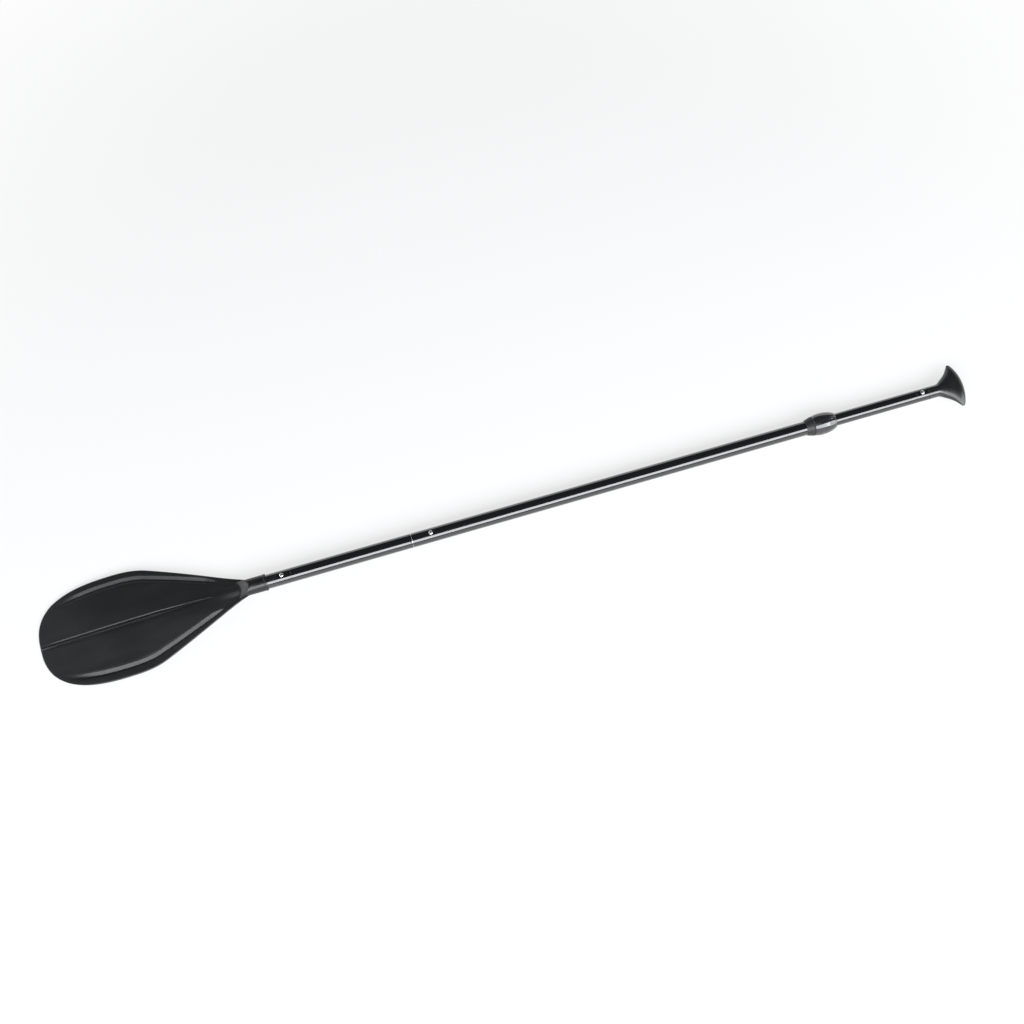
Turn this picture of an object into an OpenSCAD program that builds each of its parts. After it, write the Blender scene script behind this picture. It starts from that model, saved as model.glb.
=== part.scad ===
// Three-section adjustable paddle with one blade, put together and lying blade face down.
// The shaft runs along X: blade at -X, palm grip at +X, broad faces up. Millimetres.
// Stations along the shaft are measured from the end face of the blade's neck.

/* [Blade] */
// Length of the blade moulding, neck sleeve included
blade_length = 450; // [430:5:470]
// Widest width of the blade
blade_width = 210; // [190:2:230]
// Distance from the neck's end face to the widest point
blade_wide_at = 290; // [280:2:300]
// Length of the round neck sleeve
sleeve_length = 38; // [30:1:45]
// Outside radius of the neck sleeve
sleeve_r = 16; // [15:0.25:18]
// Thickness of the plate along its middle
plate_t = 4.6; // [3.6:0.2:6]
// Thickness of the plate at its rim
rim_t = 2.6; // [2:0.2:3.4]
// Depth of the two long flutes
flute_depth = 3.6; // [1:0.2:3.8]
// Depth of the tapered trough along the middle
trough_depth = 1.2; // [0.6:0.1:1.6]
// Height of the rib that stands in the trough
rib_height = 2.2; // [1:0.1:2.6]
// How far the tip bends below the shaft axis
tip_drop = 20.1; // [10:0.1:20.1]
// How far the rims curl below the middle at the widest point
edge_curl = 2; // [0:0.5:4]

/* [Tubes] */
// Outside diameter of the lower and middle tubes
tube_d = 28.6; // [28:0.1:29]
// Wall of every tube
wall = 1; // [0.8:0.1:1.2]
// Outside diameter of the upper tube
upper_d = 25.4; // [25:0.1:25.6]
// Length of the lower tube
lower_length = 274; // [240:1:320]
// Length of the middle tube
middle_length = 842; // [760:1:880]
// Length of the upper tube
upper_length = 785; // [720:1:820]
// Length of upper tube hidden in the middle section at rest
upper_hidden = 587.5; // [420:0.5:600]
// Length of ferrule that goes into the middle tube
ferrule_out = 85; // [70:1:100]
// Length of ferrule fixed in the lower tube
ferrule_in = 45; // [35:1:60]

/* [Twist lock] */
// Length of the collar's visible cone
cone_length = 14; // [10:1:18]
// Length of the twist nut
nut_length = 47; // [44:1:50]
// Largest radius of the twist nut
nut_r = 22; // [21.5:0.1:22.5]
// Radius where the collar and the nut meet
lock_seam_r = 19.3; // [19:0.1:20.4]
// Number of flutes round the nut
nut_flutes = 16; // [12:1:18]
// Depth of the flutes at the nut's mouth
nut_flute_depth = 0.5; // [0.2:0.1:0.8]
// Number of fingers on the collet
collet_fingers = 6; // [4:1:8]

/* [Palm grip] */
// Height of the grip from the tube to the top of the palm
grip_height = 74.6; // [72:0.2:77]
// Half of the grip's width across its horns
grip_half_w = 46.4; // [44:0.2:48]
// Half of the grip's thickness where it is thickest
grip_half_t = 14; // [13:0.2:15]

/* [Snap buttons] */
// Diameter of a snap button
button_d = 7.8; // [7:0.1:8]
// Diameter of the holes that the buttons sit in
button_hole_d = 8.5; // [8.4:0.1:9]
// Height of a button above the tube
button_proud = 3; // [2:0.1:3.5]
// Distance from the blade seam and the grip seam to their buttons
button_inset = 13.5; // [12:0.5:18]
// Distance from the ferrule's shoulder to its button
ferrule_button_at = 39; // [34:0.5:45]

/* [Hidden] */
$fn = 96;

// Fits: a sliding fit, a working gap between bodies, and the gap that shows at a seam
slide_fit = 0.05;
body_gap = 0.35;
seam_gap = 0.3;
edge_break = 0.3;

tube_r = tube_d / 2;
bore_r = tube_r - wall;
upper_r = upper_d / 2;
upper_bore_r = upper_r - wall;
ferrule_r = bore_r - slide_fit;
ferrule_bore_r = ferrule_r - wall;

// Stations along the shaft
neck_length = 17;
blade_seam = neck_length;
shoulder = blade_seam + lower_length;
collar_depth = 27;
collar_at = shoulder + middle_length - collar_depth;
seal_at = collar_at + cone_length;
seal_t = 1.5;
nut_at = seal_at + seal_t;
nut_mouth = nut_at + nut_length;
upper_at = nut_mouth - upper_hidden;
grip_seam = upper_at + upper_length;
grip_end = grip_seam + grip_height;

// The origin is under the middle of the whole paddle, on the surface that it lies on
middle_x = (grip_end - blade_length) / 2;
axis_z = nut_r;

module placed() {
    translate([-middle_x, 0, axis_z]) children();
}

// Turns a shape that stands on Z so that it starts at a station and runs along the shaft
module along(station) {
    translate([station, 0, 0]) rotate([0, 90, 0]) children();
}

module tube(station, length, outer_r, inner_r) {
    along(station) rotate_extrude()
        polygon([[inner_r, 0], [outer_r - edge_break, 0], [outer_r, edge_break],
            [outer_r, length - edge_break], [outer_r - edge_break, length], [inner_r, length]]);
}

module button_hole(station) {
    translate([station, 0, 0]) cylinder(d = button_hole_d, h = tube_d);
}

// A shallow line rolled into a tube over the end of the plug inside it
module rolled_line(station, outer_r) {
    groove = 0.25;
    along(station) rotate_extrude()
        translate([outer_r + 0.55 - groove, 0]) circle(r = 0.55, $fn = 24);
}

// ---- Curves shared by the blade and the grip ----

function ease(t) = let (c = min(1, max(0, t))) c * c * (3 - 2 * c);
function mix(a, b, t) = a + (b - a) * t;

// Height at x of the cubic from one [x, y, slope] knot to the next
function span(p, q, x) =
    let (w = q[0] - p[0], t = (x - p[0]) / w)
    (2 * t * t * t - 3 * t * t + 1) * p[1] + (t * t * t - 2 * t * t + t) * w * p[2]
    + (3 * t * t - 2 * t * t * t) * q[1] + (t * t * t - t * t) * w * q[2];

function through(knots, x, i = 0) =
    i >= len(knots) - 2 || x <= knots[i + 1][0] ? span(knots[i], knots[i + 1], x) : through(knots, x, i + 1);

// The larger of two heights, with a fillet of about k where they meet
function blended_max(a, b, k) = (a + b + sqrt((a - b) * (a - b) + k * k)) / 2;

// A solid between a top and a bottom grid of points, both given as rows of equal length
module between_grids(top, bottom) {
    rows = len(top);
    cols = len(top[0]);
    under = rows * cols;
    at = function(i, j) i * cols + j;
    quads = concat(
        [for (i = [0 : rows - 2], j = [0 : cols - 2])
            [at(i, j), at(i + 1, j), at(i + 1, j + 1), at(i, j + 1)]],
        [for (i = [0 : rows - 2], j = [0 : cols - 2])
            [under + at(i, j), under + at(i, j + 1), under + at(i + 1, j + 1), under + at(i + 1, j)]],
        [for (i = [0 : rows - 2]) [at(i, 0), under + at(i, 0), under + at(i + 1, 0), at(i + 1, 0)]],
        [for (i = [0 : rows - 2])
            [at(i, cols - 1), at(i + 1, cols - 1), under + at(i + 1, cols - 1), under + at(i, cols - 1)]],
        [for (j = [0 : cols - 2])
            [at(rows - 1, j), under + at(rows - 1, j), under + at(rows - 1, j + 1), at(rows - 1, j + 1)]]
    );
    triangles = [for (q = quads, half = [0, 1]) half == 0 ? [q[0], q[1], q[2]] : [q[0], q[2], q[3]]];
    start_face = concat([for (j = [0 : cols - 1]) at(0, j)], [for (j = [cols - 1 : -1 : 0]) under + at(0, j)]);
    polyhedron(points = concat([for (row = top, p = row) p], [for (row = bottom, p = row) p]),
        faces = concat(triangles, [start_face]));
}

// ---- Blade: everything is a function of the distance d from the neck's end face and of y ----

half_w = blade_width / 2;
tip_reach = blade_length - blade_wide_at;
tip_power = 2.6;
flare_knots = [[sleeve_length, sleeve_r, 0.38], [89, 37, 0.46], [219, 94, 0.40], [blade_wide_at, half_w, 0]];

// Superellipse of the tip: the same curve gives the side outline and the tip outline
function tip_curve(t) = pow(max(0, 1 - pow(min(1, t), tip_power)), 1 / tip_power);
function side_y(d) =
    d <= sleeve_length ? sleeve_r
    : d <= blade_wide_at ? through(flare_knots, d)
    : half_w * tip_curve((d - blade_wide_at) / tip_reach);
function tip_d(y) = blade_wide_at + tip_reach * tip_curve(abs(y) / half_w);

// The corner is where both curves meet: rows end there, and the last row is the tip outline itself
corner_share = pow(0.5, 1 / tip_power);
corner_d = blade_wide_at + tip_reach * corner_share;
corner_y = half_w * corner_share;

// The plate's middle surface: it leaves the shaft straight and bends down like a spoon
bend_power = 1.6;
curl_from = 60;
curl_full_at = 260;
function mid_z(d, y) =
    -tip_drop * pow(max(0, d - sleeve_length) / (blade_length - sleeve_length), bend_power)
    - edge_curl * pow(y / half_w, 2) * ease((d - curl_from) / (curl_full_at - curl_from));

// The sleeve ends in a slanted face that comes down to the plate
facet_from = 35;
facet_slope = 0.68;
facet_edge = 1.4;
function sleeve_z(d, y) =
    let (round = abs(y) < sleeve_r ? sqrt(sleeve_r * sleeve_r - y * y) : (sleeve_r - abs(y)) * 1.5,
        slant = sleeve_r - facet_slope * (d - facet_from))
    -blended_max(-round, -slant, facet_edge);

// A low swelling of the plate that runs on from the sleeve and dies away
swell_height = 3;
swell_half_w = 14;
swell_from = 50;
swell_end = 125;
function swell_z(d, y) =
    let (t = min(1, abs(y) / swell_half_w))
    swell_height * pow(1 - t * t, 2) * (1 - ease((d - swell_from) / (swell_end - swell_from)));

// The plate grows out of the sleeve from a thin web, is thickest along its middle and thins towards the tip
web_share = 0.06;
web_from = sleeve_length - 4;
web_length = 34;
thinning = 0.6;
thin_from = 300;
function plate_half(d, y, edge) =
    (rim_t / 2 + (plate_t - rim_t) / 2 * (1 - pow(min(1, abs(y) / edge), 2))
        * (1 - thinning * ease((d - thin_from) / (blade_length - thin_from))))
    * mix(web_share, 1, ease((d - web_from) / web_length)) + swell_z(d, y);

// Two long V-shaped flutes, pressed in from above, that start in a point and die away before the tip
flute_start = 89;
flute_end = 405;
flute_w = 6.8;
narrow = function(edge) min(1, edge / 40);
function flute_y(d, edge) =
    edge - narrow(edge) * mix(9.5, 19, min(1, max(0, (d - flute_start) / 130)));
function flute_half_w(d, edge) = narrow(edge) * mix(0.8, flute_w, ease((d - flute_start + 2) / 34));
function flute_z(d, y, edge) =
    let (w = flute_half_w(d, edge), t = (abs(y) - flute_y(d, edge)) / w)
    max(0, 1.05 - sqrt(t * t + 0.0025)) * flute_depth * min(1, w / 6) * ease((d - flute_start) / 10)
    * (1 - ease((d - flute_end + 60) / 60));

// The trough along the middle widens from a point, and the rib stands in it; both are shares of its half width
rib_start = 108;
rib_end = 425;
trough_w = 6.8;
rib_crest = 0.07;
rib_foot = 0.25;
trough_foot = 0.66;
function trough_half_w(d) = mix(1.2, trough_w, min(1, max(0, (d - rib_start) / 110)));
function middle_z(d, y) =
    let (w = trough_half_w(d), t = abs(y) / w)
    (rib_height * (1 - ease((t - rib_crest) / (rib_foot - rib_crest)))
        - trough_depth * (1 - ease((t - trough_foot) / (1 - trough_foot))))
    * min(1, w / 4) * ease((d - rib_start) / 10) * (1 - ease((d - rib_end + 45) / 45));

fillet = 3;
function top_rise(d, y, edge) =
    blended_max(plate_half(d, y, edge) + middle_z(d, y) - flute_z(d, y, edge), sleeve_z(d, y),
        fillet * ease((d - sleeve_length) / 20));
function bottom_drop(d, y, edge) =
    blended_max(plate_half(d, y, edge) + 0.9 * flute_z(d, y, edge), sleeve_z(d, y),
        fillet * ease((d - sleeve_length) / 20));

// Lines along the blade, from the middle to one edge: the rib, the trough, the field, the flute and the rim
centre_shares = [0, rib_crest, (rib_crest + rib_foot) / 2, rib_foot, trough_foot, (1 + trough_foot) / 2, 1];
field_lines = 3;
function plate_lines(d, edge) =
    let (trough = trough_half_w(d) * narrow(edge), centre = flute_y(d, edge), w = flute_half_w(d, edge),
        rim = edge - centre - w)
    concat([for (share = centre_shares) trough * share],
        [for (k = [1 : field_lines]) mix(trough, centre - w, k / (field_lines + 1))],
        [for (k = [-3 : 3]) centre + w * k / 3],
        [for (share = [0.35, 0.7, 0.93, 1]) centre + w + rim * share]);
half_lines = 20;
function lines(d, edge) =
    let (plate = plate_lines(d, edge), open = ease((d - sleeve_length) / 60))
    [for (k = [0 : half_lines]) mix(edge * sin(90 * k / half_lines), plate[k], open)];
function mirrored(half) = concat([for (k = [half_lines : -1 : 1]) -half[k]], half);

lip_length = 4;
lip_height = 0.6;
blade_rows = concat([0, lip_length, lip_length + 0.8, 20],
    [for (d = [32 : 3 : 62]) d],
    [for (d = [69 : 7 : 121]) d],
    [for (d = [132 : 13 : blade_wide_at]) d],
    [for (k = [1 : 11]) blade_wide_at + tip_reach * pow(sin(45 * k / 11), 2 / tip_power)]);

// From here on the rows bend towards the tip's outline
bend_from = 315;
function blade_point(d, y, edge, side) =
    let (at = d + (tip_d(corner_y * y / edge) - corner_d) * ease((d - bend_from) / (corner_d - bend_from)),
        lip = d <= lip_length ? 1 + lip_height / sleeve_r : 1)
    [-at, y * lip,
        mid_z(at, y) + (side > 0 ? top_rise(d, y, edge) : -bottom_drop(d, y, edge)) * lip];
function blade_grid(side) =
    [for (d = blade_rows) let (edge = side_y(d))
        [for (y = mirrored(lines(d, edge))) blade_point(d, y, edge, side)]];

tail_r = 12;
tail_length = 32;

module blade() {
    color([0.05, 0.055, 0.055]) placed() difference() {
        between_grids(blade_grid(1), blade_grid(-1));
        along(-tail_length - 1) cylinder(r = tail_r + slide_fit, h = tail_length + 2);
    }
}

// ---- Spigots: moulded plugs that carry a snap button and fit a tube's bore ----

spigot_length = 60;
relief = 0.7;
land_length = 9;

// Outline of the part inside the tube: a land at each end and one past the button, with reliefs between
function spigot_outline(r) = [
    [r, 0], [r, 21], [r - relief, 21.7], [r - relief, 32], [r, 32.7], [r, 32.7 + land_length],
    [r - relief, 42.4], [r - relief, 50], [r, 50.7], [r, spigot_length - 1.5], [r - 1.5, spigot_length]];

module spigot_hollow(inner_r) {
    translate([0, 0, 3]) cylinder(r = inner_r, h = spigot_length);
}

module blade_spigot() {
    color([0.03, 0.03, 0.035]) placed() difference() {
        union() {
            along(blade_seam) rotate_extrude()
                polygon(concat([[0, 0]], spigot_outline(ferrule_r), [[0, spigot_length]]));
            along(0) cylinder(r = tube_r, h = neck_length);
            along(-tail_length) cylinder(r = tail_r, h = tail_length);
        }
        along(blade_seam) spigot_hollow(blade_spigot_bore_r);
        translate([blade_button_at, 0, 0]) cylinder(d = button_hole_d, h = tube_d);
    }
}

module grip_spigot() {
    color([0.08, 0.08, 0.08]) placed() difference() {
        union() {
            along(grip_seam) rotate([180, 0, 0]) rotate_extrude()
                polygon(concat([[0, 0]], spigot_outline(upper_bore_r - slide_fit), [[0, spigot_length]]));
            along(grip_seam) cylinder(r = grip_tail_r, h = grip_tail_length);
        }
        along(grip_seam) rotate([180, 0, 0]) spigot_hollow(grip_spigot_bore_r);
        translate([grip_button_at, 0, 0]) cylinder(d = button_hole_d, h = tube_d);
    }
}

blade_spigot_bore_r = 9.6;
grip_spigot_bore_r = 8.6;
grip_tail_r = 9.4;
grip_tail_length = 30;
blade_button_at = blade_seam + button_inset;
grip_button_at = grip_seam - button_inset;
ferrule_button_s = shoulder + ferrule_button_at;

// ---- Snap buttons and their springs ----

flange_r = 4.8;
flange_t = 0.8;

// Height of the top of a button's flange inside a bore
function flange_top(inner_r) = sqrt(inner_r * inner_r - flange_r * flange_r) - body_gap;

module snap_button(station, inner_r, outer_r) {
    base = flange_top(inner_r) - flange_t;
    top = outer_r + button_proud;
    dome_r = 6.5;
    stud_r = button_d / 2;
    color([0.8, 0.81, 0.83]) placed() translate([station, 0, 0]) {
        translate([0, 0, base]) cylinder(r = flange_r, h = flange_t);
        intersection() {
            translate([0, 0, base]) cylinder(r = stud_r, h = top - base);
            translate([0, 0, top - dome_r]) sphere(r = dome_r);
        }
        translate([0, 0, base]) cylinder(r = stud_r, h = top - base - 2);
    }
}

// A strip bent to a V: the upper leg ends in a flat under the button, the lower one in a flat on the far wall
spring_t = 0.6;
spring_w = 6.5;
bend_r = 2.4;
leg_length = 26;
flat_half = 5.4;
spring_gap = 0.05;

// Slope of a leg that leaves the bend and comes up to a level at the start of its flat
function leg_slope(level) =
    let (r = bend_r + spring_t, run = leg_length - flat_half)
    acos(r / sqrt(level * level + run * run)) - atan2(run, level);

// One side of a leg, from the tip of its flat to the bend; r is the bend's radius on that side
function leg_side(r, level, slope) =
    let (height = level - (bend_r + spring_t - r), kink = (r - height * cos(slope)) / sin(slope))
    concat([[-leg_length - flat_half, height], [kink, height]],
        [for (k = [0 : 6]) let (angle = (90 - slope) * (1 - k / 6)) [r * cos(angle), r * sin(angle)]]);

function upside_down(points) = [for (k = [len(points) - 1 : -1 : 0]) [points[k][0], -points[k][1]]];

module snap_spring(station, inner_r, direction) {
    up = flange_top(inner_r) - flange_t - spring_gap;
    down = sqrt(inner_r * inner_r - spring_w * spring_w / 4) - spring_gap;
    side = function(r) concat(leg_side(r, up, leg_slope(up)), upside_down(leg_side(r, down, leg_slope(down))));
    inside = side(bend_r);
    color([0.72, 0.73, 0.75]) placed() translate([station, 0, 0]) mirror([direction < 0 ? 1 : 0, 0, 0])
        translate([leg_length, 0, 0]) rotate([90, 0, 0]) linear_extrude(height = spring_w, center = true)
            polygon(concat(side(bend_r + spring_t), [for (k = [len(inside) - 1 : -1 : 0]) inside[k]]));
}

module blade_snap_spring() {
    snap_spring(blade_button_at, blade_spigot_bore_r, 1);
}

module blade_snap_button() {
    snap_button(blade_button_at, blade_spigot_bore_r, tube_r);
}

module ferrule_snap_spring() {
    snap_spring(ferrule_button_s, ferrule_bore_r, -1);
}

module ferrule_snap_button() {
    snap_button(ferrule_button_s, ferrule_bore_r, tube_r);
}

module grip_snap_spring() {
    snap_spring(grip_button_at, grip_spigot_bore_r, -1);
}

module grip_snap_button() {
    snap_button(grip_button_at, grip_spigot_bore_r, upper_r);
}

// ---- Lower section ----

float_plug_length = 30;
dimple_r = 2.2;
dimple_depth = 0.5;
dimple_inset = 3.2;

module lower_tube() {
    color([0.02, 0.02, 0.025]) placed() difference() {
        tube(blade_seam + seam_gap, lower_length - seam_gap, tube_r, bore_r);
        button_hole(blade_button_at);
        rolled_line(blade_seam + 31.5, tube_r);
        for (turn = [30 : 60 : 330])
            rotate([turn, 0, 0]) translate([shoulder - dimple_inset, 0, tube_r + dimple_r - dimple_depth])
                sphere(r = dimple_r, $fn = 32);
    }
}

module lower_float_plug() {
    color([0.75, 0.75, 0.72]) placed() along(blade_seam + spigot_length + 20)
        cylinder(r = bore_r - slide_fit, h = float_plug_length);
}

module ferrule() {
    color([0.02, 0.02, 0.025]) placed() difference() {
        tube(shoulder - ferrule_in, ferrule_in + ferrule_out, ferrule_r, ferrule_bore_r);
        button_hole(ferrule_button_s);
    }
}

// ---- Middle section and its twist lock ----

module middle_tube() {
    color([0.02, 0.02, 0.025]) placed() difference() {
        tube(shoulder + seam_gap, middle_length - seam_gap, tube_r, bore_r);
        button_hole(ferrule_button_s);
    }
}

thread_r = 17.2;
guide_r = 13;
collar_end = collar_depth + 5;
ring_groove_r = lock_seam_r - 0.7;

module lock_collar() {
    sleeve = tube_r + slide_fit;
    color([0.05, 0.05, 0.055]) placed() along(collar_at) rotate_extrude()
        polygon([[sleeve, 0], [15, 0], [15.3, 0.3],
            [lock_seam_r, cone_length - 0.5], [lock_seam_r, cone_length],
            [thread_r, cone_length], [thread_r, collar_end], [guide_r, collar_end],
            [guide_r, collar_depth + slide_fit], [sleeve, collar_depth + slide_fit]]);
}

module lock_seal_ring() {
    color([0.02, 0.02, 0.02]) placed() along(seal_at) rotate_extrude()
        polygon([[thread_r + slide_fit, 0.05], [ring_groove_r, 0.05], [ring_groove_r + 0.3, seal_t / 2],
            [ring_groove_r, seal_t - 0.1], [thread_r + slide_fit, seal_t - 0.1]]);
}

// The nut swells from its base to its widest ring and then narrows, faster and faster, to its mouth
nut_wide_at = 15;
nut_base_drop = nut_r - lock_seam_r;
nut_nose_drop = 7.3;
nut_nose_power = 2.6;
nut_thread_r = thread_r + 0.1;
cam_at = 21;
cam_end = 41;
mouth_r = upper_r + body_gap;
collet_at = collar_at + collar_end + 0.3;
collet_length = 19;
collet_base_r = 16.6;
collet_nose_r = 13.9;
collet_bore_r = upper_r + 0.1;
slot_w = 1.4;
collet_ring = 5;

// Radius of the nut's outside at x from its base and at an angle round it; the flutes deepen towards the mouth
function nut_outer(x, angle) =
    nut_r - (x < nut_wide_at ? nut_base_drop * pow(1 - x / nut_wide_at, 2)
        : nut_nose_drop * pow((x - nut_wide_at) / (nut_length - nut_wide_at), nut_nose_power))
    - nut_flute_depth * (1 - cos(nut_flutes * angle)) / 2 * ease((x - 8) / 34);

// A solid through rings of points that stand one above the other, closed by a flat face at each end
module through_rings(rings) {
    count = len(rings[0]);
    last = (len(rings) - 1) * count;
    sides = [for (i = [0 : len(rings) - 2], k = [0 : count - 1])
        let (a = i * count + k, b = i * count + (k + 1) % count) [a, a + count, b + count, b]];
    triangles = [for (q = sides, half = [0, 1]) half == 0 ? [q[0], q[1], q[2]] : [q[0], q[2], q[3]]];
    polyhedron(points = [for (ring = rings, p = ring) p],
        faces = concat(triangles,
            [[for (k = [0 : count - 1]) k]], [[for (k = [count - 1 : -1 : 0]) last + k]]));
}

module twist_nut() {
    steps = 6 * nut_flutes;
    rounding = 1.3;
    round_from = nut_length - rounding;
    heights = concat([0.2, 0.9, 2, 5, 8, 11, 15, 19, 23, 27, 31, 34.5, 37.5, 40, 42.5, 44.5],
        [round_from, nut_length - 0.5, nut_length]);
    round_off = function(x)
        x > round_from ? 0.5 * pow((x - round_from) / rounding, 2) : x < 1 ? 0.5 * (1 - x) : 0;
    color([0.03, 0.03, 0.035]) placed() along(nut_at) difference() {
        through_rings([for (x = heights)
            [for (k = [0 : steps - 1]) let (angle = 360 * k / steps, r = nut_outer(x, angle) - round_off(x))
                [r * cos(angle), r * sin(angle), x]]]);
        rotate_extrude()
            polygon([[0, -1], [nut_thread_r, -1], [nut_thread_r, cam_at], [mouth_r, cam_end],
                [mouth_r, nut_length + 1], [0, nut_length + 1]]);
    }
}

module lock_collet() {
    color([0.75, 0.74, 0.7]) placed() along(collet_at) difference() {
        rotate_extrude()
            polygon([[collet_bore_r, 0], [collet_base_r, 0], [collet_base_r, 4],
                [collet_nose_r, collet_length], [collet_bore_r, collet_length]]);
        for (k = [0 : collet_fingers - 1])
            rotate([0, 0, (k + 0.4) * 360 / collet_fingers])
                translate([collet_bore_r - 3, -slot_w / 2, collet_ring]) cube([8, slot_w, collet_length]);
    }
}

// ---- Upper section ----

module upper_tube() {
    color([0.02, 0.02, 0.025]) placed() difference() {
        tube(upper_at, upper_length - seam_gap, upper_r, upper_bore_r);
        button_hole(grip_button_at);
        rolled_line(grip_seam - 26, upper_r);
    }
}

module upper_float_plug() {
    color([0.75, 0.75, 0.72]) placed() along(upper_at + 12)
        cylinder(r = upper_bore_r - slide_fit, h = float_plug_length);
}

// ---- Palm grip: functions of the height h above the tube and of y ----

horn_h = 62.8;
horn_y = grip_half_w - 1.1;
palm_r = 98;
grip_side_knots = [[20, upper_r, 0.08], [34, 21.5, 0.85], [46, 34, 1.2], [57, grip_half_w - 1.2, 0.7],
    [60, grip_half_w, 0], [horn_h, horn_y, -1]];
palm_turn = 40;
function palm_arc(y) = grip_height - palm_r + sqrt(palm_r * palm_r - y * y);
palm_knots = [[palm_turn, palm_arc(palm_turn), -0.445], [horn_y, horn_h, -1]];
function palm_h(y) = abs(y) <= palm_turn ? palm_arc(y) : through(palm_knots, min(abs(y), horn_y));
function grip_y(h) = h <= 20 ? upper_r : through(grip_side_knots, h);

flank_w = 22;
palm_edge = 14;
land = 0.25;
horn_thinning = 7;
function grip_z(h, y, edge) =
    let (full = mix(upper_r, grip_half_t, ease((h - 20) / 30))
            - horn_thinning * pow(y / grip_half_w, 2) * ease((h - 25) / 25),
        flank = min(edge, flank_w),
        side = max(0, (abs(y) - edge + flank) / flank),
        palm = max(0, (h - palm_h(y) + palm_edge) / palm_edge))
    max(land, full * sqrt(max(0, 1 - side * side)) * sqrt(max(0, 1 - palm * palm)));

grip_rows = concat([0, 7, 14, 20], [for (h = [23 : 3 : 44]) h],
    [for (k = [0 : 13]) 46 + (horn_h - 46) * sin(90 * k / 13)]);
grip_cols = 13;
function grip_grid(side) =
    [for (row = grip_rows) let (edge = grip_y(row))
        [for (k = [-grip_cols : grip_cols])
            let (y = edge * sin(90 * k / grip_cols),
                h = row + (palm_h(y) - horn_h) * ease((row - 24) / (horn_h - 24)))
            [-h, y, side * grip_z(h, y, edge)]]];

module grip() {
    color([0.045, 0.045, 0.05]) placed() difference() {
        translate([grip_seam, 0, 0]) rotate([0, 0, 180]) between_grids(grip_grid(1), grip_grid(-1));
        along(grip_seam - 1) cylinder(r = grip_tail_r + slide_fit, h = grip_tail_length + 1.5);
    }
}

blade();
blade_spigot();
blade_snap_spring();
blade_snap_button();
lower_tube();
lower_float_plug();
ferrule();
ferrule_snap_spring();
ferrule_snap_button();
middle_tube();
lock_collar();
lock_seal_ring();
lock_collet();
twist_nut();
upper_tube();
upper_float_plug();
grip_spigot();
grip();
grip_snap_spring();
grip_snap_button();
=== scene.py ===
"""Looks of the three-section adjustable paddle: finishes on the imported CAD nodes, and smooth skins for the
blade, the palm grip and the twist nut. Metres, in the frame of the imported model: the shaft runs along X,
blade at -X, grip at +X, broad faces up."""

import math

import bmesh
import bpy
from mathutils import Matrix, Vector


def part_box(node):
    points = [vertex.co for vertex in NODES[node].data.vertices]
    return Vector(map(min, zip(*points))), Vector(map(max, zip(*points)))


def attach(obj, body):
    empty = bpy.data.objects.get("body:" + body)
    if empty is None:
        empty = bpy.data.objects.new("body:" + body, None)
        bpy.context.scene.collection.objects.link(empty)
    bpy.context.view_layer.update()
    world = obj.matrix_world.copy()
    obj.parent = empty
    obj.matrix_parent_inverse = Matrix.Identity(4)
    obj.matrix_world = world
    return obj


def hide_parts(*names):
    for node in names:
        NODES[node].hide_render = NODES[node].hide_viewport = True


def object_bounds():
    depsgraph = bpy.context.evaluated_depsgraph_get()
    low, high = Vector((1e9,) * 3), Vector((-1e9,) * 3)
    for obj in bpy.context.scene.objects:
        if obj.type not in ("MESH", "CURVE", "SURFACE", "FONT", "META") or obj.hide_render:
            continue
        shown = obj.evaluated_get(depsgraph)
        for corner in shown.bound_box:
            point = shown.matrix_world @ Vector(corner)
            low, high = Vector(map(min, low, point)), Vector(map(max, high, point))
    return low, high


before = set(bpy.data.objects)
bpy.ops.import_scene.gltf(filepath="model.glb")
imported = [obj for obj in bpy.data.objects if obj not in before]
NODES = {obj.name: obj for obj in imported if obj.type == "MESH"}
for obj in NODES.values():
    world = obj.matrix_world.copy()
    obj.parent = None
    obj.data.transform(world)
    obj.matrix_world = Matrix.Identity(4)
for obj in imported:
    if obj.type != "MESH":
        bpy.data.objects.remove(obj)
CAD_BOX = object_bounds()
MM = 0.001

# ---- Places, read from the frame ----


def span_x(node):
    low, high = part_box(node)
    return low.x, high.x


AXIS_Z = sum(corner.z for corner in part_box("middle_tube")) / 2
BLADE_TIP_X, NECK_END_X = span_x("blade")
GRIP_SEAM_X, PALM_X = span_x("grip")
NUT_BASE_X, NUT_MOUTH_X = span_x("twist_nut")

# ---- Camera: from the bottom side of the view, 21 degrees off straight down ----

VIEW_AZIMUTH = -17
VIEW_ELEVATION = 69
LENS_MM = 70
SENSOR_MM = 36
MARGIN = 1.05


def corners(box):
    low, high = box
    return [Vector((x, y, z)) for x in (low[0], high[0]) for y in (low[1], high[1]) for z in (low[2], high[2])]


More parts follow.
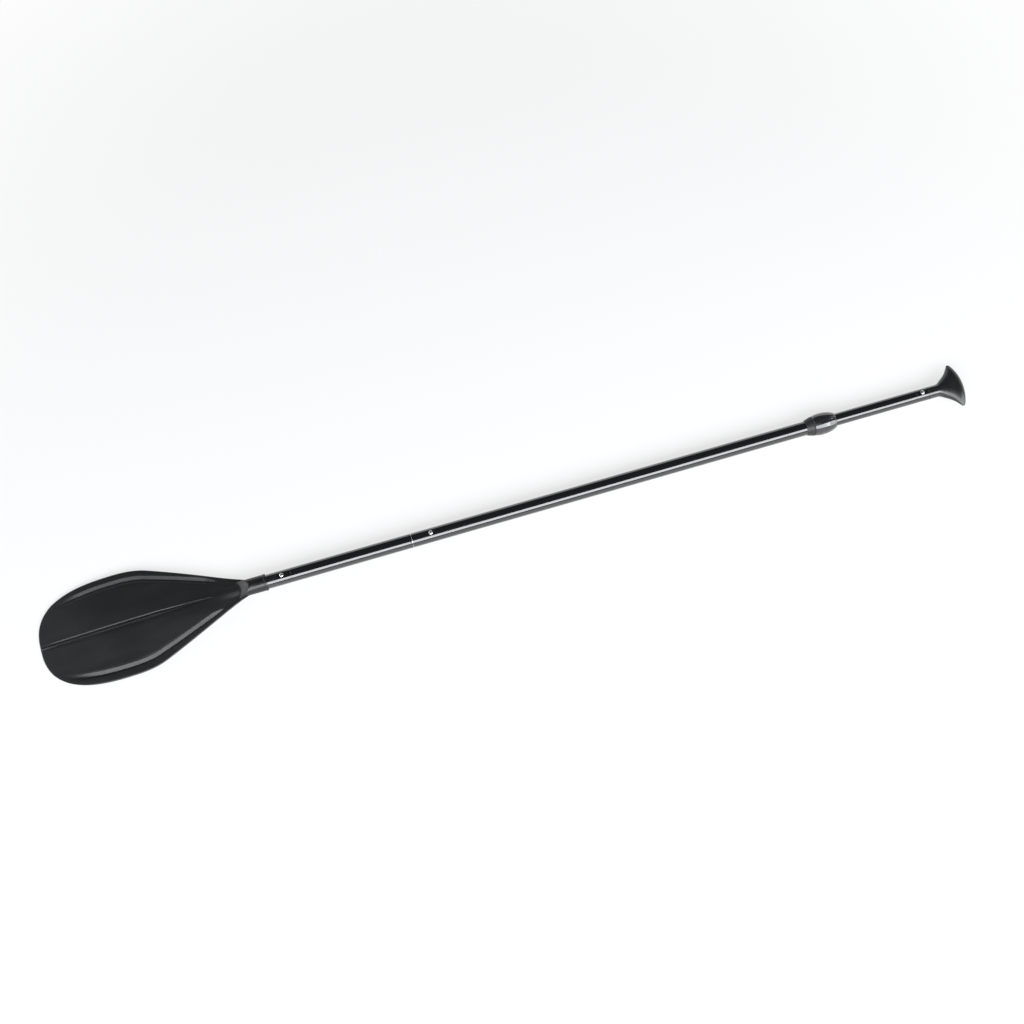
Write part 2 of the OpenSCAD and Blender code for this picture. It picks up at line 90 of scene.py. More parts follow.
def aim_camera():
    camera = bpy.data.cameras.new("camera")
    camera.lens = LENS_MM
    camera.sensor_width = SENSOR_MM
    holder = bpy.data.objects.new("camera", camera)
    bpy.context.scene.collection.objects.link(holder)
    azimuth, elevation = math.radians(VIEW_AZIMUTH), math.radians(VIEW_ELEVATION)
    look = Vector((-math.sin(azimuth) * math.cos(elevation), math.cos(azimuth) * math.cos(elevation),
                   -math.sin(elevation)))
    holder.rotation_mode = "QUATERNION"
    holder.rotation_quaternion = look.to_track_quat("-Z", "Y")
    right = holder.rotation_quaternion @ Vector((1, 0, 0))
    up = holder.rotation_quaternion @ Vector((0, 1, 0))
    half_view = SENSOR_MM / 2 / LENS_MM
    middle = sum(corners(CAD_BOX), Vector()) / 8
    distance = 1.0
    for point in corners(CAD_BOX):
        arm = point - middle
        reach = max(abs(arm.dot(right)), abs(arm.dot(up)))
        distance = max(distance, reach * MARGIN / half_view - arm.dot(look))
    holder.location = middle - look * distance
    bpy.context.scene.camera = holder


aim_camera()

# ---- Node helpers ----


class Shader:
    """A material's node tree, with short calls for the few nodes that the finishes here need."""

    def __init__(self, name, colour, roughness, **sockets):
        self.material = bpy.data.materials.new(name)
        self.material.use_nodes = True
        self.nodes = self.material.node_tree.nodes
        self.links = self.material.node_tree.links
        self.surface = self.nodes["Principled BSDF"]
        self.surface.inputs["Base Color"].default_value = (*colour, 1)
        self.surface.inputs["Roughness"].default_value = roughness
        for key, value in sockets.items():
            self.surface.inputs[key.replace("_", " ")].default_value = value
        self.coordinates = self.add("ShaderNodeTexCoord").outputs
        self.place = self.coordinates["Object"]

    def add(self, kind, **settings):
        node = self.nodes.new(kind)
        for key, value in settings.items():
            setattr(node, key, value)
        return node

    def stretched(self, x=1.0, y=1.0, z=1.0):
        mapping = self.add("ShaderNodeMapping")
        mapping.inputs["Scale"].default_value = (x, y, z)
        self.links.new(self.place, mapping.inputs["Vector"])
        return mapping.outputs["Vector"]

    def noise(self, scale, detail=2.0, vector=None, roughness=0.5):
        node = self.add("ShaderNodeTexNoise")
        node.inputs["Scale"].default_value = scale
        node.inputs["Detail"].default_value = detail
        node.inputs["Roughness"].default_value = roughness
        self.links.new(vector or self.place, node.inputs["Vector"])
        return node.outputs["Fac"]

    def ramp(self, value, low, high, out_low=0.0, out_high=1.0):
        node = self.add("ShaderNodeMapRange", interpolation_type="SMOOTHSTEP")
        for key, number in (("From Min", low), ("From Max", high), ("To Min", out_low), ("To Max", out_high)):
            node.inputs[key].default_value = number
        self.links.new(value, node.inputs["Value"])
        return node.outputs["Result"]

    def math(self, operation, a, b=0.0):
        node = self.add("ShaderNodeMath", operation=operation)
        for socket, value in zip(node.inputs, (a, b)):
            if isinstance(value, (int, float)):
                socket.default_value = value
            else:
                self.links.new(value, socket)
        return node.outputs["Value"]

    def axis(self, name, coordinates="Object"):
        node = self.add("ShaderNodeSeparateXYZ")
        self.links.new(self.coordinates[coordinates], node.inputs["Vector"])
        return node.outputs[name]

    def blend(self, factor, a, b):
        node = self.add("ShaderNodeMix", data_type="RGBA")
        self.links.new(factor, node.inputs["Factor"])
        for socket, value in ((node.inputs[6], a), (node.inputs[7], b)):
            if isinstance(value, tuple):
                socket.default_value = (*value, 1)
            else:
                self.links.new(value, socket)
        return node.outputs[2]

    def bump(self, height, strength, distance, under=None):
        node = self.add("ShaderNodeBump")
        node.inputs["Strength"].default_value = strength
        node.inputs["Distance"].default_value = distance
        self.links.new(height, node.inputs["Height"])
        if under is not None:
            self.links.new(under, node.inputs["Normal"])
        return node.outputs["Normal"]

    def use(self, socket, value):
        self.links.new(value, self.surface.inputs[socket])

# ---- Finishes ----

TUBE_BLACK, TUBE_SCUFF, BARE_ALUMINIUM = (0.004, 0.0043, 0.005), (0.012, 0.013, 0.015), (0.72, 0.73, 0.75)
BLADE_DARK, BLADE_PALE = (0.0058, 0.007, 0.0068), (0.009, 0.0105, 0.0102)
BLADE_WORN, FACET_SCUFF = (0.026, 0.028, 0.027), (0.06, 0.058, 0.064)
ROOF_SLOPE = 0.055
ROOF_X, ROOF_IN, ROOF_LEAN, ROOF_MOST = 0.089, 0.026, 0.32, 0.076
FACET_AT = 0.045
GRIP_BLACK = (0.009, 0.0096, 0.0095)
PALM_FROM, PALM_TO = 0.014, 0.034


def near(shader, coordinate, places, reach):
    """1 within reach of any of the places along a coordinate, 0 further away."""
    total = None
    for place in places:
        distance = shader.math("ABSOLUTE", shader.math("SUBTRACT", coordinate, place))
        mask = shader.ramp(distance, reach * 0.85, reach, 1.0, 0.0)
        total = mask if total is None else shader.math("MAXIMUM", total, mask)
    return total


def tube_black(node):
    """Deep gloss black on drawn aluminium: faint draw lines along the tube, and a bare rim at each end."""
    start, end = span_x(node)
    paint = Shader("tube_black_" + node, TUBE_BLACK, 0.1, IOR=1.7, Coat_Weight=1.0, Coat_Roughness=0.05)
    draw_lines = paint.noise(1.0, 3.0, paint.stretched(3, 1600, 1600))
    cloud = paint.noise(14.0, 4.0, paint.stretched(0.6, 3, 3))
    scuffs = paint.ramp(paint.noise(1.0, 6.0, paint.stretched(40, 900, 900), 0.7), 0.66, 0.8)
    facing = paint.ramp(paint.math("ABSOLUTE", paint.axis("X", "Normal")), 0.55, 0.65)
    rim = paint.math("MULTIPLY", near(paint, paint.axis("X"), (start, end), 0.45 * MM), facing)
    colour = paint.blend(scuffs, TUBE_BLACK, TUBE_SCUFF)
    paint.use("Base Color", paint.blend(rim, colour, BARE_ALUMINIUM))
    paint.use("Metallic", rim)
    rough = paint.math("ADD", paint.ramp(cloud, 0.3, 0.7, 0.09, 0.17), paint.math("MULTIPLY", scuffs, 0.12))
    paint.use("Roughness", paint.math("MAXIMUM", rough, paint.math("MULTIPLY", rim, 0.28)))
    paint.use("Normal", paint.bump(draw_lines, 0.06, 0.02 * MM))
    return paint.material


def blade_plastic():
    """Moulded nylon, satin on the neck and duller on the plate, with a scratched tip and a scuffed neck."""
    nylon = Shader("blade_plastic", (0.0085, 0.0098, 0.0094), 0.4, IOR=1.55)
    x = nylon.axis("X")
    plate = nylon.ramp(x, NECK_END_X - 0.075, NECK_END_X - 0.034, 1.0, 0.0)
    grain = nylon.noise(2600.0, 2.0)
    flow = nylon.noise(1.0, 4.0, nylon.stretched(7, 22, 22))
    scratches = nylon.ramp(nylon.noise(1.0, 8.0, nylon.stretched(160, 12, 60), 0.72), 0.62, 0.72)
    tip = nylon.ramp(x, BLADE_TIP_X, BLADE_TIP_X + 0.12, 1.0, 0.25)
    neck = nylon.math("SUBTRACT", 1.0, plate)
    worn = nylon.math("MULTIPLY", scratches, tip)
    scuffs = nylon.ramp(nylon.noise(1.0, 9.0, nylon.stretched(600, 190, 380), 0.72), 0.52, 0.64)
    along = nylon.math("ABSOLUTE", nylon.math("SUBTRACT", x, NECK_END_X - FACET_AT))
    on_facet = nylon.math("MULTIPLY", nylon.ramp(along, 0.005, 0.015, 1.0, 0.0),
                          nylon.ramp(nylon.math("ABSOLUTE", nylon.axis("Y")), 0.008, 0.018, 1.0, 0.0))
    scuffed = nylon.math("MULTIPLY", scuffs, on_facet)
    base = nylon.blend(nylon.ramp(flow, 0.35, 0.7), BLADE_DARK, BLADE_PALE)
    base = nylon.blend(worn, base, BLADE_WORN)
    nylon.use("Base Color", nylon.blend(scuffed, base, FACET_SCUFF))
    gloss = nylon.math("ADD", nylon.ramp(flow, 0.3, 0.7, 0.29, 0.36), nylon.math("MULTIPLY", plate, 0.1))
    nylon.use("Roughness", nylon.math("ADD", gloss, nylon.math("MULTIPLY", worn, 0.12)))
    # The halves of the plate fall away a little from the rib, as far out as the flutes
    reach = ROOF_IN + ROOF_LEAN * (NECK_END_X - ROOF_X)
    inner = nylon.math("ADD", nylon.math("MULTIPLY", x, -ROOF_LEAN), reach)
    from_rib = nylon.math("ABSOLUTE", nylon.axis("Y"))
    roof = nylon.math("MINIMUM", from_rib, nylon.math("MINIMUM", inner, ROOF_MOST))
    fall = nylon.bump(nylon.math("MULTIPLY", roof, -ROOF_SLOPE), 1.0, 1.0)
    waves = nylon.bump(flow, 0.25, 0.6 * MM, fall)
    dents = nylon.bump(nylon.math("MULTIPLY", nylon.noise(420.0, 4.0), neck), 1.0, 0.15 * MM, waves)
    dents = nylon.bump(scuffed, 0.5, 0.06 * MM, dents)
    nylon.use("Normal", nylon.bump(grain, 0.22, 0.05 * MM, dents))
    return nylon.material


def moulded(name, colour, roughness, grain=0.12, coat=0.0, ior=1.5):
    """Black moulded plastic with a light grain and slow changes of gloss."""
    plastic = Shader(name, colour, roughness, IOR=ior, Coat_Weight=coat, Coat_Roughness=0.07)
    slow = plastic.noise(35.0, 4.0)
    fine = plastic.noise(1800.0, 2.0)
    paler = tuple(c * 1.7 + 0.002 for c in colour)
    plastic.use("Base Color", plastic.blend(plastic.ramp(slow, 0.45, 0.75), colour, paler))
    plastic.use("Roughness", plastic.ramp(slow, 0.3, 0.7, roughness - 0.05, roughness + 0.07))
    plastic.use("Normal", plastic.bump(fine, grain, 0.04 * MM))
    return plastic.material


def grip_plastic():
    """Moulded like the nut, with a polished neck and a satin palm."""
    plastic = Shader("grip_plastic", GRIP_BLACK, 0.2, IOR=1.6, Coat_Weight=1.0, Coat_Roughness=0.07)
    palm = plastic.ramp(plastic.axis("X"), GRIP_SEAM_X + PALM_FROM, GRIP_SEAM_X + PALM_TO)
    slow = plastic.noise(35.0, 4.0)
    plastic.use("Coat Weight", plastic.ramp(palm, 0, 1, 1.0, 0.12))
    rough = plastic.math("ADD", plastic.ramp(slow, 0.3, 0.7, 0.17, 0.25), plastic.ramp(palm, 0, 1, 0, 0.13))
    plastic.use("Roughness", rough)
    plastic.use("Normal", plastic.bump(plastic.noise(1800.0, 2.0), 0.12, 0.04 * MM))
    return plastic.material


def bright_metal(name, colour, roughness):
    """Plated or rolled metal, with fine hairlines."""
    metal = Shader(name, colour, roughness, Metallic=1.0)
    hair = metal.noise(1.0, 4.0, metal.stretched(300, 3000, 3000))
    metal.use("Roughness", metal.ramp(hair, 0.3, 0.7, roughness, roughness + 0.08))
    metal.use("Normal", metal.bump(hair, 0.05, 0.01 * MM))
    return metal.material


def foam():
    cells = Shader("float_foam", (0.62, 0.62, 0.6), 0.9)
    pores = cells.add("ShaderNodeTexVoronoi")
    pores.inputs["Scale"].default_value = 900
    cells.links.new(cells.place, pores.inputs["Vector"])
    # The pits of the foam cells are painted darker than the walls between them: painted shade in the pores'
    # hollows, laid over the same pits as the bump
    painted_pore_shade = cells.ramp(pores.outputs["Distance"], 0.1, 0.6)
    cells.use("Base Color", cells.blend(painted_pore_shade, (0.5, 0.5, 0.48), (0.68, 0.68, 0.66)))
    cells.use("Normal", cells.bump(pores.outputs["Distance"], 0.5, 0.3 * MM))
    return cells.material


def wear(node, material):
    data = NODES[node].data
    data.materials.clear()
    data.materials.append(material)


PLUG = moulded("plug_plastic", (0.005, 0.0053, 0.006), 0.13, coat=1.0, ior=1.7)
CHROME = bright_metal("button_chrome", (0.82, 0.83, 0.85), 0.22)
SPRING = bright_metal("spring_steel", (0.62, 0.63, 0.65), 0.24)
FOAM = foam()
for tube in ("lower_tube", "ferrule", "middle_tube", "upper_tube"):
    wear(tube, tube_black(tube))
for node in ("blade_spigot", "grip_spigot"):
    wear(node, PLUG)
for prefix in ("blade", "ferrule", "grip"):
    wear(prefix + "_snap_button", CHROME)
    wear(prefix + "_snap_spring", SPRING)
for node in ("lower_float_plug", "upper_float_plug"):
    wear(node, FOAM)
wear("lock_collar", moulded("collar_plastic", (0.02, 0.021, 0.022), 0.46, grain=0.2))
wear("lock_collet", moulded("collet_plastic", (0.03, 0.03, 0.03), 0.4))
wear("lock_seal_ring", moulded("seal_rubber", (0.008, 0.008, 0.008), 0.7, grain=0.3))

# ---- Curves and lofts for the moulded pieces, in millimetres along the shaft from each piece's own start ----

SHARP = math.radians(38)


def ease(t):
    c = min(1.0, max(0.0, t))
    return c * c * (3 - 2 * c)


def mix(a, b, t):
    return a + (b - a) * t


def through(knots, x):
    """Height at x of a smooth curve through [x, y, slope] knots."""
    i = 0
    while i < len(knots) - 2 and x > knots[i + 1][0]:
        i += 1
    (x0, y0, slope0), (x1, y1, slope1) = knots[i:i + 2]
    w = x1 - x0
    t = (x - x0) / w
    return ((2 * t ** 3 - 3 * t ** 2 + 1) * y0 + (t ** 3 - 2 * t ** 2 + t) * w * slope0
            + (3 * t ** 2 - 2 * t ** 3) * y1 + (t ** 3 - t ** 2) * w * slope1)


def blended_max(a, b, k):
    return (a + b + math.sqrt((a - b) ** 2 + k ** 2)) / 2


def quarter(count):
    """Sines of equal angles from 0 to 90 degrees."""
    return [math.sin(math.pi / 2 * k / count) for k in range(count + 1)]


def between(knots, counts):
    """The knots, with each gap cut into a number of equal steps."""
    steps = [mix(a, b, k / n) for a, b, n in zip(knots, knots[1:], counts) for k in range(n)]
    return steps + [knots[-1]]


def mirrored(half):
    return [-y for y in reversed(half[1:])] + half


def rounded(distance, radius):
    """Share of the full height at a distance from an edge that is rounded over a radius."""
    inside = min(1.0, distance / radius) if radius > 0 else 1.0
    return math.sqrt(max(0.0, 1 - (1 - inside) ** 2))


def beveled(distance, width):
    """Share of the full height at a distance from an edge that is bevelled over a width."""
    return BEVEL_LAND + (1 - BEVEL_LAND) * min(1.0, distance / width) if width > 0 else 1.0


def lofted(name, rings, start_x, toward, wrap=False):
    """A mesh through rings of [along, y, z] points that start at start_x and run towards +X or -X."""
    count = len(rings[0])
    last = len(rings) if wrap else len(rings) - 1
    points = [(start_x + toward * x * MM, y * MM, AXIS_Z + z * MM) for ring in rings for x, y, z in ring]
    faces = [(i * count + k, i * count + (k + 1) % count,
              (i + 1) % len(rings) * count + (k + 1) % count, (i + 1) % len(rings) * count + k)
             for i in range(last) for k in range(count)]
    if not wrap:
        faces.append(tuple(range(count)))
    mesh = bpy.data.meshes.new(name)
    mesh.from_pydata(points, [], faces)
    form = bmesh.new()
    form.from_mesh(mesh)
    bmesh.ops.remove_doubles(form, verts=form.verts, dist=0.004 * MM)
    bmesh.ops.dissolve_degenerate(form, edges=form.edges, dist=0.001 * MM)
    bmesh.ops.recalc_face_normals(form, faces=form.faces)
    for face in form.faces:
        face.smooth = True
    form.to_mesh(mesh)
    form.free()
    mesh.set_sharp_from_angle(angle=SHARP)
    return mesh


def add_skin(mesh, node, body, material):
    mesh.materials.append(material)
    piece = bpy.data.objects.new(mesh.name, mesh)
    bpy.context.scene.collection.objects.link(piece)
    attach(piece, body)
    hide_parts(node)


def socket_rings(outer, radius, depth):
    """Rings down a round socket, in step with the points of the ring round its mouth."""
    turned = [(y / math.hypot(y, z) * radius, z / math.hypot(y, z) * radius) for _, y, z in outer]
    mouth = outer[0][0]
    return [[(depth, y, z) for y, z in turned], [(mouth, y, z) for y, z in turned]]

# ---- Blade: the height of each face is a function of the distance d from the neck's end and of y ----


BLADE_LOW, BLADE_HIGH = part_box("blade")
BLADE_LENGTH = (BLADE_HIGH.x - BLADE_LOW.x) / MM
HALF_W = BLADE_HIGH.y / MM
WIDE_AT = 290
SLEEVE_LENGTH = 38
SLEEVE_R = 16
PLATE_T = 4.6
RIM_T = 2.6
BEVEL_W = 1.7
BEVEL_LAND = 0.1
RIM_SHARES = (0.08, 0.3, 0.6, 0.85, 0.95, 1)
TIP_DROP = 20.1
EDGE_CURL = 2
TIP_POWER = 2.6
TIP_REACH = BLADE_LENGTH - WIDE_AT
CORNER_SHARE = 0.5 ** (1 / TIP_POWER)
CORNER_D = WIDE_AT + TIP_REACH * CORNER_SHARE
BEND_FROM = 315
FLARE = [[SLEEVE_LENGTH, SLEEVE_R, 0.38], [89, 37, 0.46], [219, 94, 0.40], [WIDE_AT, HALF_W, 0]]
FLUTE_START, FLUTE_END, FLUTE_W, FLUTE_DEPTH = 89, 405, 6.8, 3.6
RIB_START, RIB_END, RIB_HEIGHT, TROUGH_W, TROUGH_DEPTH = 108, 425, 2.2, 6.8, 1.2
RIB_CREST, RIB_FOOT, TROUGH_FOOT = 0.07, 0.25, 0.66
LIP_LENGTH, LIP_HEIGHT, EDGE_BREAK = 4, 0.6, 0.35
SPIGOT_R, SPIGOT_DEPTH = 12.05, 33


def tip_curve(t):
    return max(0.0, 1 - min(1.0, t) ** TIP_POWER) ** (1 / TIP_POWER)


def side_y(d):
    if d <= SLEEVE_LENGTH:
        return SLEEVE_R
    return through(FLARE, d) if d <= WIDE_AT else HALF_W * tip_curve((d - WIDE_AT) / TIP_REACH)


def tip_shift(share):
    """How far the last row lies beyond the corner, at a share of the row's half width."""
    return TIP_REACH * (tip_curve(abs(share) * CORNER_SHARE) - CORNER_SHARE)


def mid_z(d, y):
    drop = TIP_DROP * (max(0.0, d - SLEEVE_LENGTH) / (BLADE_LENGTH - SLEEVE_LENGTH)) ** 1.6
    return -drop - EDGE_CURL * (y / HALF_W) ** 2 * ease((d - 60) / 200)


def sleeve_z(d, y):
    r = SLEEVE_R
    round_z = math.sqrt(r * r - y * y) if abs(y) < r else (r - abs(y)) * 1.5
    slant = r - 0.68 * (d - 35)
    return -blended_max(-round_z, -slant, 1.4)


def plate_half(d, y, edge):
    crown = 1 - min(1.0, abs(y) / edge) ** 2
    half = RIM_T / 2 + (PLATE_T - RIM_T) / 2 * crown * (1 - 0.6 * ease((d - 300) / 150))
    swell = 3 * (1 - min(1.0, abs(y) / 14) ** 2) ** 2 * (1 - ease((d - 50) / 75))
    return half * (0.06 + 0.94 * ease((d - SLEEVE_LENGTH + 4) / 34)) + swell


def narrow(edge):
    return min(1.0, edge / 40)


def flute_y(d, edge):
    return edge - narrow(edge) * mix(9.5, 19, min(1.0, max(0.0, (d - FLUTE_START) / 130)))


def flute_half_w(d, edge):
    return narrow(edge) * mix(0.8, FLUTE_W, ease((d - FLUTE_START + 2) / 34))


def flute_z(d, y, edge):
    w = flute_half_w(d, edge)
    t = (abs(y) - flute_y(d, edge)) / w
    fade = ease((d - FLUTE_START) / 10) * (1 - ease((d - FLUTE_END + 60) / 60))
    return max(0.0, 1.05 - math.sqrt(t * t + 0.0025)) * FLUTE_DEPTH * min(1.0, w / 6) * fade


def trough_half_w(d):
    return mix(1.2, TROUGH_W, min(1.0, max(0.0, (d - RIB_START) / 110)))


def middle_z(d, y):
    w = trough_half_w(d)
    t = abs(y) / w
    rib = RIB_HEIGHT * (1 - ease((t - RIB_CREST) / (RIB_FOOT - RIB_CREST)))
    trough = TROUGH_DEPTH * (1 - ease((t - TROUGH_FOOT) / (1 - TROUGH_FOOT)))
    fade = min(1.0, w / 4) * ease((d - RIB_START) / 10) * (1 - ease((d - RIB_END + 45) / 45))
    return (rib - trough) * fade


def blade_half_lines(d, edge, rim):
    """Values of y from the middle to one edge, close together over the rib, the flute and the rim."""
    trough = trough_half_w(d) * narrow(edge)
    centre, w = flute_y(d, edge), flute_half_w(d, edge)
    knots = [share * trough for share in (0, RIB_CREST, RIB_FOOT, TROUGH_FOOT, 1)]
    knots += [centre - 1.05 * w, centre, centre + 1.05 * w, edge - rim]
    plate = between(knots, (2, 5, 4, 5, 11, 9, 9, 6)) + [edge - rim * (1 - s) for s in RIM_SHARES]
    spread = ease((d - SLEEVE_LENGTH) / 60)
    return [mix(edge * s, y, spread) for s, y in zip(quarter(len(plate) - 1), plate)]


def blade_ring(d):
    edge = side_y(d)
    rim = BEVEL_W * ease((d - 36) / 12)
    lip = 1 + LIP_HEIGHT / SLEEVE_R * (1 - ease((d - LIP_LENGTH) / 0.8)) - ease(1 - d / EDGE_BREAK) * 0.02
    fillet = 3 * ease((d - SLEEVE_LENGTH) / 20)
    sides = []
    for side in (1, -1):
        face = []
        for y in mirrored(blade_half_lines(d, edge, rim)):
            at = d + tip_shift(y / edge) * ease((d - BEND_FROM) / (CORNER_D - BEND_FROM))
            if side > 0:
                relief = middle_z(d, y) - flute_z(d, y, edge)
            else:
                relief = 0.9 * flute_z(d, y, edge)
            rise = blended_max(plate_half(d, y, edge) + relief, sleeve_z(d, y), fillet)
            to_edge = min(edge - abs(y), CORNER_D - d)
            height = rise * (beveled(max(0.0, to_edge), rim) if side > 0 else rounded(max(0.0, to_edge), rim))
            face.append((at, y * lip, mid_z(at, y) + side * height * lip))
        sides.append(face)
    return sides[0] + sides[1][-2:0:-1]


def blade_mesh():
    rows = between([0, EDGE_BREAK, LIP_LENGTH, LIP_LENGTH + 0.8, 30, 62, 125, WIDE_AT],
                   (3, 2, 4, 6, 40, 34, 66))
    rows += [WIDE_AT + (TIP_REACH * CORNER_SHARE - BEVEL_W) * math.sin(math.pi / 4 * k / 44) ** (2 / TIP_POWER)
             / CORNER_SHARE for k in range(1, 45)]
    rows += [CORNER_D - BEVEL_W * (1 - s) for s in RIM_SHARES]
    rings = [blade_ring(d) for d in rows]
    return lofted("blade_skin", socket_rings(rings[0], SPIGOT_R, SPIGOT_DEPTH) + rings, NECK_END_X, -1)

# ---- Palm grip: functions of the height h above the seam and of y ----


TUBE_R = (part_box("upper_tube")[1].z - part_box("upper_tube")[0].z) / 2 / MM
GRIP_HEIGHT = (PALM_X - GRIP_SEAM_X) / MM
GRIP_HALF_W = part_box("grip")[1].y / MM
GRIP_HALF_T = 14
HORN_H, HORN_Y = 62.8, GRIP_HALF_W - 1.1
PALM_R, PALM_TURN, PALM_EDGE = 98, 40, 14
FLANK_W = 22
GRIP_SIDE = [[20, TUBE_R, 0.08], [34, 21.5, 0.85], [46, 34, 1.2], [57, GRIP_HALF_W - 1.2, 0.7],
             [60, GRIP_HALF_W, 0], [HORN_H, HORN_Y, -1]]
PARTING_IN, PARTING_W, PARTING_DEPTH = 2.3, 0.35, 0.22
TAIL_R, TAIL_DEPTH = 9.45, 30.5


def palm_arc(y):
    return GRIP_HEIGHT - PALM_R + math.sqrt(PALM_R ** 2 - y * y)


PALM_END = [[PALM_TURN, palm_arc(PALM_TURN), -0.445], [HORN_Y, HORN_H, -1]]


def palm_h(y):
    return palm_arc(y) if abs(y) <= PALM_TURN else through(PALM_END, min(abs(y), HORN_Y))


def grip_z(h, y, edge):
    full = mix(TUBE_R, GRIP_HALF_T, ease((h - 20) / 30)) - 7 * (y / GRIP_HALF_W) ** 2 * ease((h - 25) / 25)
    flank = min(edge, FLANK_W)
    side = max(0.0, (abs(y) - edge + flank) / flank)
    to_palm = palm_h(y) - h
    palm = max(0.0, 1 - to_palm / PALM_EDGE)
    height = full * math.sqrt(max(0.0, 1 - side ** 2)) * math.sqrt(max(0.0, 1 - palm ** 2))
    parting = PARTING_DEPTH * math.exp(-((to_palm - PARTING_IN) / PARTING_W) ** 2)
    return height - min(height, parting)


def grip_ring(row):
    edge = TUBE_R - 0.35 * ease(1 - row / 0.35) if row <= 20 else through(GRIP_SIDE, row)
    face = []
    for share in mirrored(quarter(44)):
        y = edge * share
        h = row + (palm_h(y) - HORN_H) * ease((row - 24) / (HORN_H - 24))
        face.append((h, y, grip_z(h, y, edge) if row > 20 else math.sqrt(max(0.0, edge ** 2 - y ** 2))))
    return face + [(h, y, -z) for h, y, z in face[-2:0:-1]]


def grip_mesh():
    rows = between([0, 0.35, 20, 46], (3, 8, 20)) + [46 + (HORN_H - 46) * s for s in quarter(40)[1:]]
    rows = sorted(rows + [HORN_H - PARTING_IN + 0.14 * k for k in range(-6, 7)])
    rings = [grip_ring(row) for row in rows]
    return lofted("grip_skin", socket_rings(rings[0], TAIL_R, TAIL_DEPTH) + rings, GRIP_SEAM_X, 1)

# ---- Twist nut ----


NUT_START = 0.2
NUT_LENGTH = (NUT_MOUTH_X - NUT_BASE_X) / MM + NUT_START
NUT_MAX_R, NUT_BASE_R, NUT_WIDE_AT = AXIS_Z / MM, 19.3, 15
NOSE_DROP, NOSE_POWER = 7.3, 2.6
NUT_FLUTES, NUT_FLUTE_DEPTH = 16, 0.5
NUT_THREAD_R, NUT_MOUTH_R = 17.3, 13.05
CAM_AT, CAM_END = 21, 41
NUT_STEPS = 240


def nut_outer(x, turn):
    if x < NUT_WIDE_AT:
        drop = (NUT_MAX_R - NUT_BASE_R) * (1 - x / NUT_WIDE_AT) ** 2
    else:
        drop = NOSE_DROP * ((x - NUT_WIDE_AT) / (NUT_LENGTH - NUT_WIDE_AT)) ** NOSE_POWER
    flutes = NUT_FLUTE_DEPTH * (1 - math.cos(NUT_FLUTES * turn)) / 2 * ease((x - 8) / 34)
    from_mouth = x - NUT_LENGTH + 1.3
    round_off = 0.5 * (from_mouth / 1.3) ** 2 if from_mouth > 0 else 0.5 * max(0.0, 1 - x)
    return NUT_MAX_R - drop - flutes - round_off


def nut_ring(x, radius=None):
    turns = [math.tau * k / NUT_STEPS for k in range(NUT_STEPS)]
    radii = [radius or nut_outer(x, turn) for turn in turns]
    return [(x - NUT_START, r * math.sin(turn), -r * math.cos(turn)) for r, turn in zip(radii, turns)]


def nut_mesh():
    heights = between([NUT_START, 1, 2, 15, 34, NUT_LENGTH - 1.3, NUT_LENGTH], (3, 2, 12, 16, 14, 5))
    bore = [(NUT_LENGTH, NUT_MOUTH_R + 0.3), (NUT_LENGTH - 0.3, NUT_MOUTH_R), (CAM_END, NUT_MOUTH_R),
            (CAM_AT, NUT_THREAD_R), (NUT_START, NUT_THREAD_R)]
    rings = [nut_ring(x) for x in heights] + [nut_ring(x, r) for x, r in bore]
    return lofted("twist_nut_skin", rings, NUT_BASE_X, 1, wrap=True)


add_skin(blade_mesh(), "blade", "blade", blade_plastic())
add_skin(grip_mesh(), "grip", "grip", grip_plastic())
add_skin(nut_mesh(), "twist_nut", "lock_nut",
         moulded("nut_plastic", (0.012, 0.0125, 0.013), 0.24, grain=0.05, coat=1.0, ior=1.62))

# ---- Floor, backdrop and light ----

FLOOR_RADIUS = 26
BACKDROP_HEIGHT = 7
BACKDROP_SIDES = 48
PAPER_TONE = 0.85
PAPER_WHITE = 0.73
FADE_FROM, FADE_TO = 0.9, 1.9
KEY_AWAY, KEY_ELEVATION, KEY_SIZE, KEY_POWER = 2.6, 42, (5.0, 1.5), 155
LEFT_AWAY, LEFT_DIRECTION, LEFT_SIZE, LEFT_POWER = 2.2, (-0.83, 0.3, 0.45), (1.5, 1.5), 16
RIGHT_AWAY, RIGHT_DIRECTION, RIGHT_SIZE, RIGHT_POWER = 2.6, (0.8, -0.5, 0.42), (1.9, 1.9), 50
COOL, LILAC = (0.94, 0.97, 1.0), (0.95, 0.94, 1.0)
WORLD = 0.065


def white_paper():
    """Pale paper that takes shadows near the object and is plain white further away."""
    paper = Shader("paper", (PAPER_TONE,) * 3, 0.9, Specular_IOR_Level=0.1)
    rays = paper.add("ShaderNodeLightPath").outputs
    mirrored_or_through = paper.math("MAXIMUM", rays["Is Glossy Ray"], rays["Is Transmission Ray"])
    seen = paper.math("MAXIMUM", rays["Is Camera Ray"], mirrored_or_through)
    away = paper.add("ShaderNodeVectorMath", operation="LENGTH")
    paper.links.new(paper.place, away.inputs["Vector"])
    whiteness = paper.ramp(away.outputs["Value"], FADE_FROM, FADE_TO, PAPER_WHITE, 1.0)
    share = paper.math("MULTIPLY", seen, whiteness)
    surface = paper.add("ShaderNodeMixShader")
    paper.links.new(share, surface.inputs["Fac"])
    paper.links.new(paper.surface.outputs["BSDF"], surface.inputs[1])
    paper.links.new(paper.add("ShaderNodeEmission").outputs["Emission"], surface.inputs[2])
    paper.links.new(surface.outputs["Shader"], paper.nodes["Material Output"].inputs["Surface"])
    return paper.material


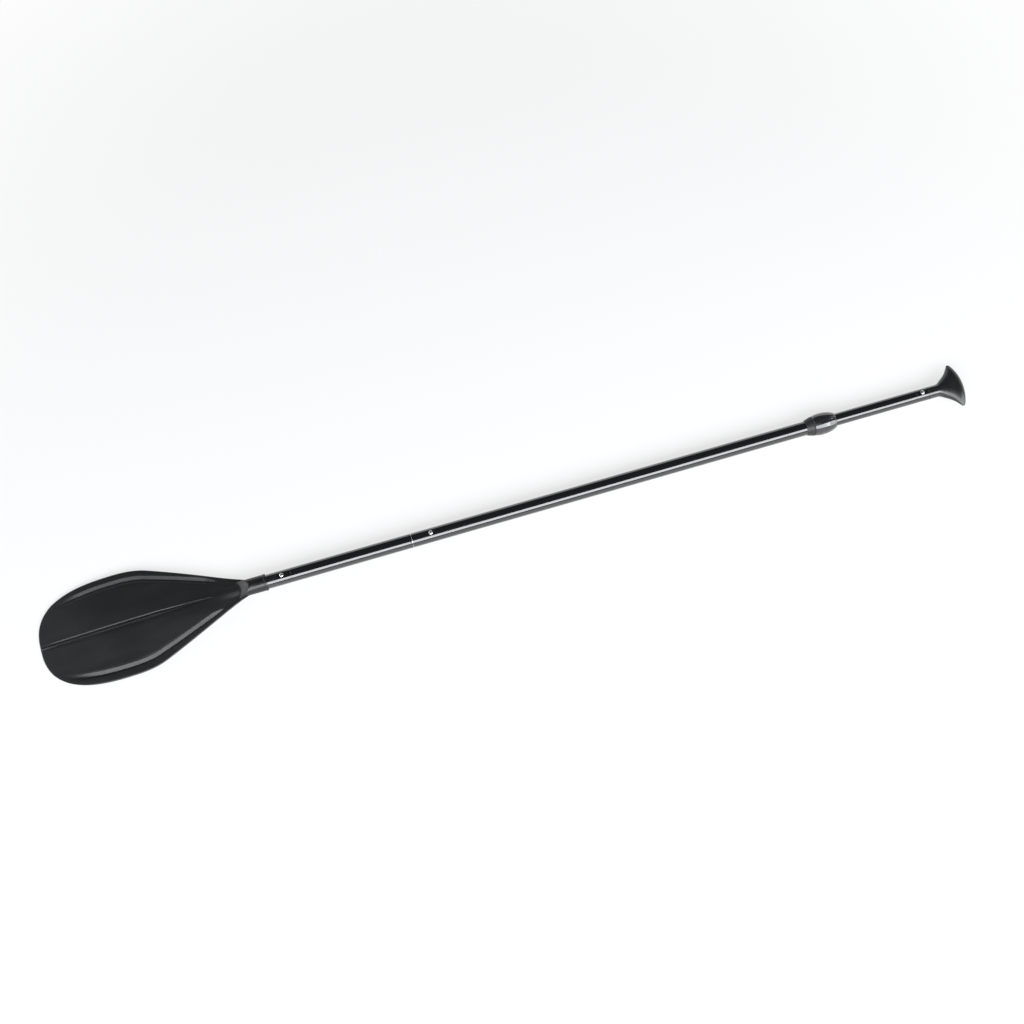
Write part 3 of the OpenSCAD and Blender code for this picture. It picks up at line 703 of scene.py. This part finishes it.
def stage_piece(name, points, faces, material):
    mesh = bpy.data.meshes.new(name)
    mesh.from_pydata(points, [], faces)
    mesh.materials.append(material)
    piece = bpy.data.objects.new(name, mesh)
    bpy.context.scene.collection.objects.link(piece)


def set_stage():
    """A round floor with a low wall round it, so that views from the side see white as well."""
    paper = white_paper()
    turns = [math.tau * k / BACKDROP_SIDES for k in range(BACKDROP_SIDES)]
    foot = [(FLOOR_RADIUS * math.cos(turn), FLOOR_RADIUS * math.sin(turn), 0) for turn in turns]
    top = [(x, y, BACKDROP_HEIGHT) for x, y, _ in foot]
    wall = [(k, k + BACKDROP_SIDES, (k + 1) % BACKDROP_SIDES + BACKDROP_SIDES, (k + 1) % BACKDROP_SIDES)
            for k in range(BACKDROP_SIDES)]
    stage_piece("floor", foot, [tuple(range(BACKDROP_SIDES))], paper)
    stage_piece("backdrop", foot + top, wall, paper)


def softbox(name, target_x, direction, away, size, power, colour):
    light = bpy.data.lights.new(name, "AREA")
    light.shape = "RECTANGLE"
    light.size, light.size_y = size
    light.energy = power
    light.color = colour
    holder = bpy.data.objects.new(name, light)
    bpy.context.scene.collection.objects.link(holder)
    holder.location = Vector((target_x, 0, AXIS_Z)) + direction.normalized() * away
    holder.rotation_mode = "QUATERNION"
    holder.rotation_quaternion = (-direction).to_track_quat("-Z", "Y")


def light_scene():
    """A long softbox along the shaft, and small ones for the neck's slanted face and the nut's mouth."""
    lift = math.radians(KEY_ELEVATION)
    softbox("key", 0, Vector((0, -math.cos(lift), math.sin(lift))), KEY_AWAY, KEY_SIZE, KEY_POWER, COOL)
    softbox("left", NECK_END_X, Vector(LEFT_DIRECTION), LEFT_AWAY, LEFT_SIZE, LEFT_POWER, LILAC)
    softbox("right", NUT_MOUTH_X, Vector(RIGHT_DIRECTION), RIGHT_AWAY, RIGHT_SIZE, RIGHT_POWER, COOL)
    world = bpy.data.worlds.new("world")
    world.use_nodes = True
    sky = world.node_tree.nodes["Background"]
    sky.inputs["Color"].default_value = (*COOL, 1)
    sky.inputs["Strength"].default_value = WORLD
    bpy.context.scene.world = world
    bpy.context.scene.view_settings.view_transform = "Standard"


set_stage()
light_scene()
